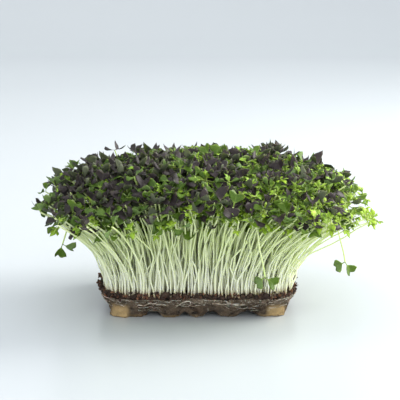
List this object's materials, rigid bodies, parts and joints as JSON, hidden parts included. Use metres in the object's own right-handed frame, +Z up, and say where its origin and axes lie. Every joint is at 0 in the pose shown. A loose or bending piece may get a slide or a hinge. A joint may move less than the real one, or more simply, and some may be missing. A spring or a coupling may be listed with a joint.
{
  "type": "block of living microgreens",
  "caption": "Living mixed microgreens, purple and green, growing close together from a low rounded block of matted roots and peat, without its tray.",
  "frame": {"origin": "centre of the flat foot under the middle of the root block, on the surface it stands on", "axes": "+Z up, +X to the right along the block's long side as seen from the front, -Y towards the front"},
  "size_m": [0.1966, 0.1462, 0.0862],
  "materials": {
    "root_felt": "matte, damp felt of fine roots and peat",
    "dark_peat": "matte, damp crumbs and seed hulls",
    "white_root": "satin, pale and slightly clear",
    "pale_stem": "satin, juicy and slightly clear",
    "green_leaf": "satin, thin and slightly clear",
    "purple_leaf": "satin, thin"
  },
  "bodies": {
    "root": {"root_block": "root_felt", "soil_layer": "dark_peat", "front_root_1": "white_root", "front_root_2": "white_root", "front_root_3": "white_root", "stems_front_left_end": "pale_stem", "leaves_front_left_end": "green_leaf", "stems_front_left": "pale_stem", "leaves_front_left": "purple_leaf", "stems_front_centre": "pale_stem", "leaves_front_centre": "green_leaf", "stems_front_right": "pale_stem", "leaves_front_right": "purple_leaf", "stems_front_right_end": "pale_stem", "leaves_front_right_end": "green_leaf", "stems_mid_front_left_end": "pale_stem", "leaves_mid_front_left_end": "purple_leaf", "stems_mid_front_left": "pale_stem", "leaves_mid_front_left": "green_leaf", "stems_mid_front_centre": "pale_stem", "leaves_mid_front_centre": "purple_leaf", "stems_mid_front_right": "pale_stem", "leaves_mid_front_right": "green_leaf", "stems_mid_front_right_end": "pale_stem", "leaves_mid_front_right_end": "purple_leaf", "stems_mid_back_left_end": "pale_stem", "leaves_mid_back_left_end": "green_leaf", "stems_mid_back_left": "pale_stem", "leaves_mid_back_left": "purple_leaf", "stems_mid_back_centre": "pale_stem", "leaves_mid_back_centre": "green_leaf", "stems_mid_back_right": "pale_stem", "leaves_mid_back_right": "purple_leaf", "stems_mid_back_right_end": "pale_stem", "leaves_mid_back_right_end": "green_leaf", "stems_back_left_end": "pale_stem", "leaves_back_left_end": "purple_leaf", "stems_back_left": "pale_stem", "leaves_back_left": "green_leaf", "stems_back_centre": "pale_stem", "leaves_back_centre": "purple_leaf", "stems_back_right": "pale_stem", "leaves_back_right": "green_leaf", "stems_back_right_end": "pale_stem", "leaves_back_right_end": "purple_leaf", "hanging_sprout_right": "green_leaf", "hanging_sprout_left": "green_leaf", "hanging_sprout_front": "green_leaf"}
  },
  "joints": []
}
